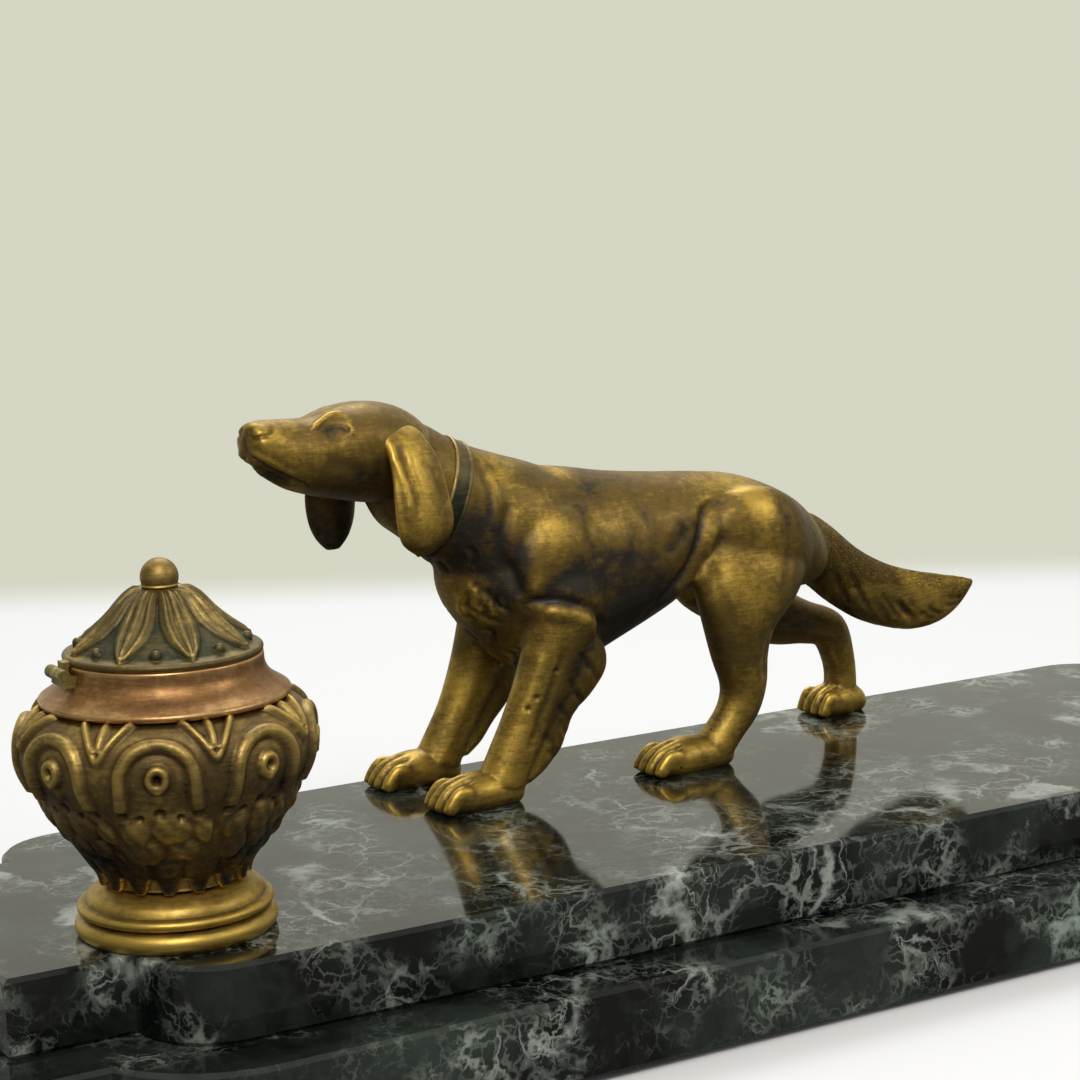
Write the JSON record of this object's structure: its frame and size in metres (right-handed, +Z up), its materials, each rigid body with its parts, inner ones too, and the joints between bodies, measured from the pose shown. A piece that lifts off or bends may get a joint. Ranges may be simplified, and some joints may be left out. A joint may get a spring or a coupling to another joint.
{
  "type": "desk inkstand",
  "caption": "Desk inkstand: a bronze setter and a hinged-lid urn inkwell on a stepped base of dark veined marble.",
  "frame": {"origin": "on the table under the middle of the marble base", "axes": "+X along the base, away from the urn; +Y to the back; +Z up"},
  "size_m": [0.4128, 0.1402, 0.1319],
  "materials": {
    "marble": "polished dark green-black marble with white veins",
    "felt": "green wool felt",
    "bronze": "patinated bronze, rubbed to gold on the high places",
    "dark_bronze": "dark patina",
    "gilt_bronze": "rubbed golden bronze",
    "copper_band": "satin reddish bronze",
    "liner": "clear pressed glass",
    "fixing": "dull brass"
  },
  "bodies": {
    "stand": {"lower_slab": "marble", "upper_slab": "marble", "felt_pad_1": "felt", "felt_pad_2": "felt", "felt_pad_3": "felt", "felt_pad_4": "felt", "urn_foot": "gilt_bronze", "urn_body": "bronze", "urn_collar": "copper_band", "hinge_collar_leaf": "gilt_bronze", "hinge_pin": "fixing", "ink_liner": "liner", "urn_stud": "fixing", "urn_washer": "fixing", "urn_nut": "fixing", "dog_body": "bronze", "dog_ear_near": "bronze", "dog_ear_far": "bronze", "dog_collar": "dark_bronze", "dog_tail": "bronze", "dog_foreleg_near": "bronze", "dog_foreleg_far": "bronze", "dog_hindleg_near": "bronze", "dog_hindleg_far": "bronze", "paw_studs": "fixing", "paw_washers": "fixing", "paw_nuts": "fixing"},
    "lid": {"urn_lid": "bronze", "urn_finial": "gilt_bronze", "hinge_lid_leaf": "gilt_bronze"}
  },
  "joints": [
    {"name": "lid_hinge", "type": "hinge", "parent": "stand", "child": "lid", "pos_m": [-0.1738, -0.0268, 0.0902], "axis": [0, -1, 0], "range_deg": [0, 100]}
  ]
}
